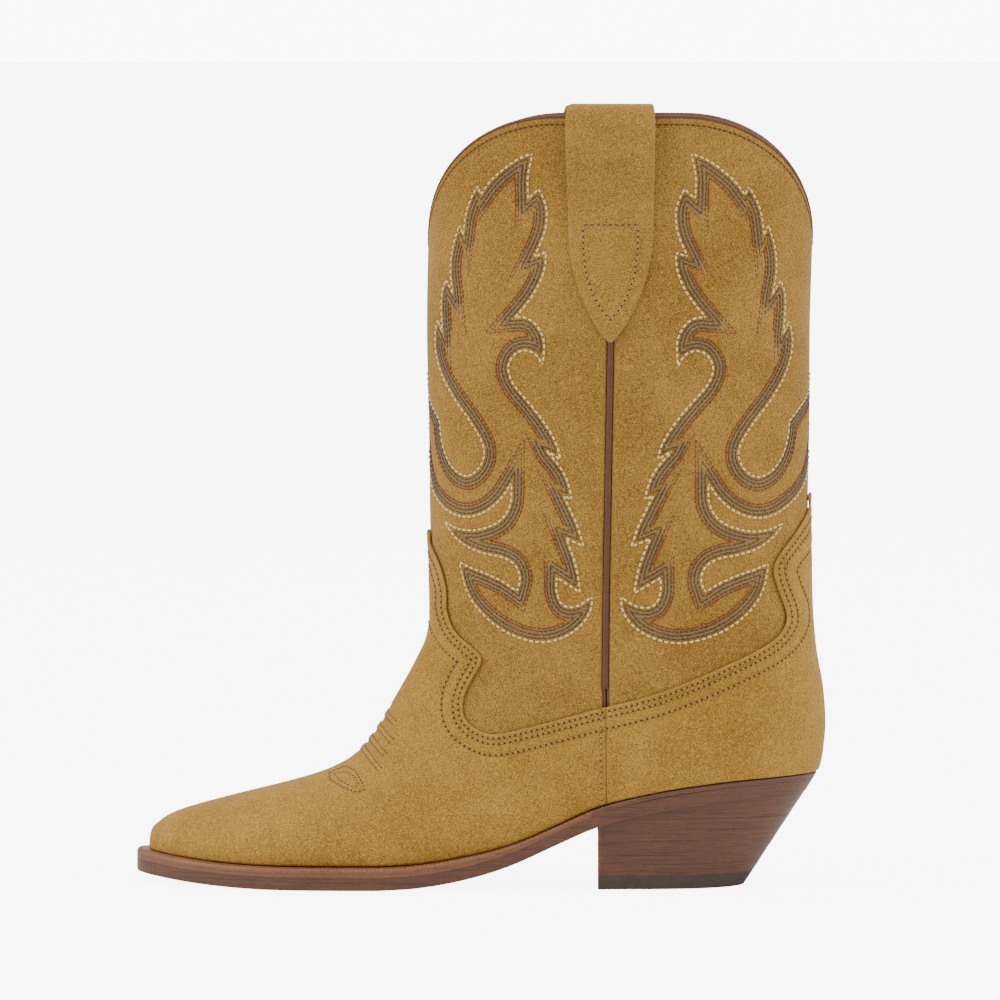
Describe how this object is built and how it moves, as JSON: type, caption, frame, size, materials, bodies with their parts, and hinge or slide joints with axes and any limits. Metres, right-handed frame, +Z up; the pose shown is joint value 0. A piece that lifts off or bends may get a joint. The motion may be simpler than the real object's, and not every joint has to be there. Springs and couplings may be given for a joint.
{
  "type": "western boot",
  "caption": "Pull-on western boot with a pointed toe, a tall suede shaft with a dipped top line and pull straps, and a slanted stacked leather heel.",
  "frame": {"origin": "middle of the boot's box in plan, on the ground plane", "axes": "+X from the toe to the heel, +Z up the shaft, -Y to the outer side of a left foot"},
  "size_m": [0.276, 0.111, 0.3122],
  "materials": {
    "suede": "napped golden tan suede",
    "lining_leather": "smooth pigskin lining",
    "stiffener_board": "leather board",
    "brown_leather": "burnished edge dressing",
    "stacked_leather": "stacked leather with fine level grain, waxed",
    "rubber_lift": "matt rubber",
    "cork": "pressed cork",
    "steel": "plain steel",
    "thread": "waxed sewing thread"
  },
  "bodies": {
    "root": {"vamp": "suede", "heel_counter_cover": "suede", "shaft_front": "suede", "shaft_back": "suede", "pull_strap_lateral": "suede", "pull_strap_medial": "suede", "shaft_lining_front": "lining_leather", "shaft_lining_back": "lining_leather", "vamp_lining": "lining_leather", "heel_lining": "lining_leather", "sock_liner": "lining_leather", "vamp_doubler": "stiffener_board", "toe_puff": "stiffener_board", "heel_stiffener": "stiffener_board", "insole": "stiffener_board", "side_piping_lateral": "brown_leather", "side_piping_medial": "brown_leather", "top_binding_front": "brown_leather", "top_binding_back": "brown_leather", "welt": "brown_leather", "heel_rand": "brown_leather", "outsole": "brown_leather", "heel_lift_1": "stacked_leather", "heel_lift_2": "stacked_leather", "heel_lift_3": "stacked_leather", "heel_lift_4": "stacked_leather", "heel_lift_5": "stacked_leather", "heel_lift_6": "stacked_leather", "heel_lift_7": "stacked_leather", "top_lift": "rubber_lift", "cork_filler": "cork", "shank": "steel", "heel_screw": "steel", "top_lift_nail_1": "steel", "top_lift_nail_2": "steel", "top_lift_nail_3": "steel", "top_lift_nail_4": "steel", "top_lift_nail_5": "steel", "seat_nail_1": "steel", "seat_nail_2": "steel", "seat_nail_3": "steel", "seat_nail_4": "steel"}
  },
  "joints": []
}
